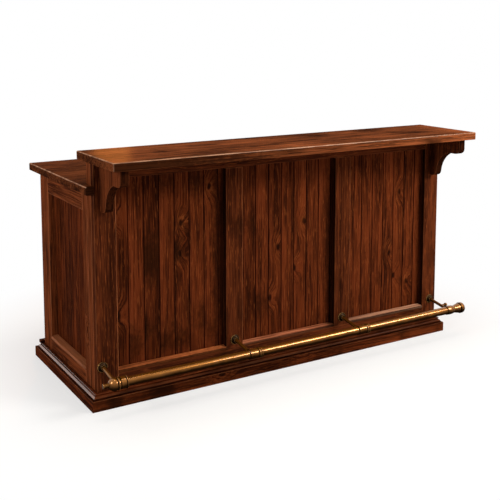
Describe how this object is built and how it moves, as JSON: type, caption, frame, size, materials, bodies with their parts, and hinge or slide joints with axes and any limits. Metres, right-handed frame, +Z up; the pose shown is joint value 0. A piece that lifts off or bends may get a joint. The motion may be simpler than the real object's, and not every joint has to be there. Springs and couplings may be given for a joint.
{
  "type": "bar counter",
  "caption": "Two-level bar counter: framed boarded front, raised top on shaped corbels, lower worktop over open shelves, and a turned foot rail standing off the front on brackets.",
  "frame": {"origin": "middle of the bounding box's footprint, at the floor", "axes": "+X along the counter, to the right for a customer who faces it; +Y from the customers to the bar staff; +Z up"},
  "size_m": [1.9704, 0.992, 1.067],
  "materials": {
    "dark_wood": "dark red-brown stain over knotty softwood, satin lacquer",
    "top_wood": "dark red-brown stain, semi-gloss lacquer, worn lighter at the arrises",
    "inside_wood": "dark stain, matt",
    "brass": "brushed antique brass",
    "bronze": "darkened brass, satin"
  },
  "bodies": {
    "root": {"skirting_front": "dark_wood", "skirting_back": "dark_wood", "skirting_left": "dark_wood", "skirting_right": "dark_wood", "cap_moulding_front": "dark_wood", "cap_moulding_back": "dark_wood", "cap_moulding_left": "dark_wood", "cap_moulding_right": "dark_wood", "front_corner_stile_left": "dark_wood", "front_corner_stile_right": "dark_wood", "front_mid_stile_1": "dark_wood", "front_mid_stile_2": "dark_wood", "front_top_rail": "dark_wood", "front_bottom_rail": "dark_wood", "front_boards_1": "dark_wood", "front_boards_2": "dark_wood", "front_boards_3": "dark_wood", "front_sill_1": "dark_wood", "front_sill_2": "dark_wood", "front_sill_3": "dark_wood", "end_front_stile_left": "dark_wood", "end_front_stile_right": "dark_wood", "end_back_stile_left": "dark_wood", "end_back_stile_right": "dark_wood", "end_top_rail_left": "dark_wood", "end_top_rail_right": "dark_wood", "end_bottom_rail_left": "dark_wood", "end_bottom_rail_right": "dark_wood", "end_boards_left": "dark_wood", "end_boards_right": "dark_wood", "end_sill_left": "dark_wood", "end_sill_right": "dark_wood", "wall_end_post_left": "dark_wood", "wall_end_post_right": "dark_wood", "wall_back_board": "dark_wood", "wall_top_plate": "inside_wood", "corbel_left": "dark_wood", "corbel_right": "dark_wood", "bar_top": "top_wood", "worktop": "top_wood", "bottom_deck": "inside_wood", "deck_bearer_front": "inside_wood", "deck_bearer_back": "dark_wood", "deck_nosing": "dark_wood", "divider_1": "inside_wood", "divider_2": "inside_wood", "shelf_1": "inside_wood", "shelf_2": "inside_wood", "shelf_3": "inside_wood", "back_rail": "dark_wood", "rail_tube": "brass", "rail_ball_end": "brass", "rail_bracket_2": "brass", "rail_bracket_3": "brass", "rail_bracket_4": "brass", "rail_end_cap": "brass", "rail_flange_1": "bronze", "rail_flange_2": "bronze", "rail_flange_3": "bronze", "rail_flange_4": "bronze"}
  },
  "joints": []
}
